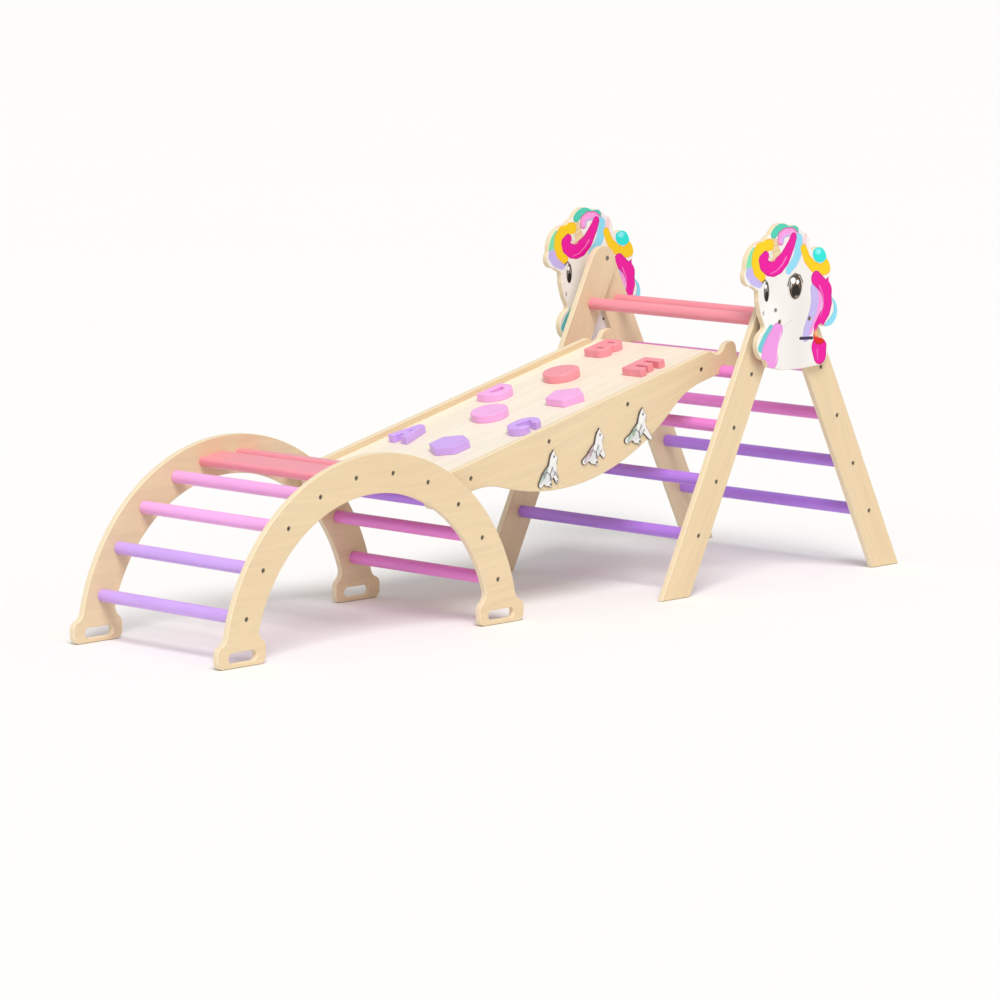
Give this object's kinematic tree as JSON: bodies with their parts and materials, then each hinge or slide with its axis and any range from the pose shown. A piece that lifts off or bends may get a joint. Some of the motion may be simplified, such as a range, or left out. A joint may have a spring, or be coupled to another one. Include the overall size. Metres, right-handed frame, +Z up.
{
  "type": "toddler climbing slide",
  "caption": "Wooden toddler climbing set: an arch climber and a folding A-frame ladder with pony-head panels, joined by a hook-on slide board with climbing holds.",
  "frame": {"origin": "middle of the bounding box's base, on the floor", "axes": "+X along the slide board from the arch climber to the A-frame, +Y across to the far side, +Z up"},
  "size_m": [2.0672, 0.621, 0.8153],
  "materials": {
    "plywood": "clear-lacquered birch plywood, satin",
    "purple_wood": "satin purple stain, grain faintly seen",
    "pink_wood": "satin pink stain",
    "coral_wood": "satin coral stain",
    "printed_panel": null,
    "badge": "thin printed plywood",
    "spacer": "moulded sleeve",
    "fastener": "zinc-plated, socket heads"
  },
  "bodies": {
    "base": {"arch_bolts": "fastener", "arch_inserts": "fastener", "arch_plank_5": "coral_wood", "arch_plank_6": "coral_wood", "arch_rung_1": "purple_wood", "arch_rung_10": "pink_wood", "arch_rung_2": "purple_wood", "arch_rung_3": "pink_wood", "arch_rung_4": "pink_wood", "arch_rung_7": "purple_wood", "arch_rung_8": "purple_wood", "arch_rung_9": "pink_wood", "arch_side_far": "plywood", "arch_side_near": "plywood", "front_bolts": "fastener", "front_inserts": "fastener", "front_leg_far": "plywood", "front_leg_near": "plywood", "front_rung_1": "purple_wood", "front_rung_2": "purple_wood", "front_rung_3": "pink_wood", "front_rung_4": "pink_wood", "front_rung_5": "coral_wood", "pivot_bolts": "fastener", "pivot_nuts": "fastener"},
    "rear_ladder": {"head_panel_far": "printed_panel", "head_panel_near": "printed_panel", "panel_bolts": "fastener", "panel_spacers": "spacer", "rear_bolts": "fastener", "rear_inserts": "fastener", "rear_leg_far": "plywood", "rear_leg_near": "plywood", "rear_rung_1": "purple_wood", "rear_rung_2": "purple_wood", "rear_rung_3": "pink_wood", "rear_rung_4": "pink_wood", "rear_rung_5": "coral_wood"},
    "ramp": {"hold_a": "purple_wood", "hold_b": "coral_wood", "hold_c": "purple_wood", "hold_d": "pink_wood", "hold_disc_lower": "pink_wood", "hold_disc_upper": "coral_wood", "hold_e": "coral_wood", "hold_hexagon": "purple_wood", "hold_pentagon": "pink_wood", "ramp_badges": "badge", "ramp_bolts": "fastener", "ramp_deck": "plywood", "ramp_inserts": "fastener", "ramp_rail_1": "plywood", "ramp_rail_2": "plywood", "ramp_rail_3": "plywood", "ramp_rail_4": "plywood", "ramp_screws": "fastener", "ramp_side_far": "plywood", "ramp_side_near": "plywood"},
    "lock_screw_near": {"lock_screw_near": "fastener"},
    "lock_screw_far": {"lock_screw_far": "fastener"}
  },
  "joints": [
    {"name": "rear_fold", "type": "hinge", "parent": "base", "child": "rear_ladder", "pos_m": [0.64477, 0, 0.6963], "axis": [0, 1, 0], "range_deg": [0, 26]},
    {"name": "ramp_lift", "type": "hinge", "parent": "base", "child": "ramp", "pos_m": [0.53608, 0, 0.47952], "axis": [0, 1, 0], "range_deg": [0, 35]},
    {"name": "lock_screw_near_out", "type": "slide", "parent": "rear_ladder", "child": "lock_screw_near", "axis": [0, -1, 0], "range_m": [0, 0.014]},
    {"name": "lock_screw_far_out", "type": "slide", "parent": "rear_ladder", "child": "lock_screw_far", "axis": [0, 1, 0], "range_m": [0, 0.014]}
  ]
}
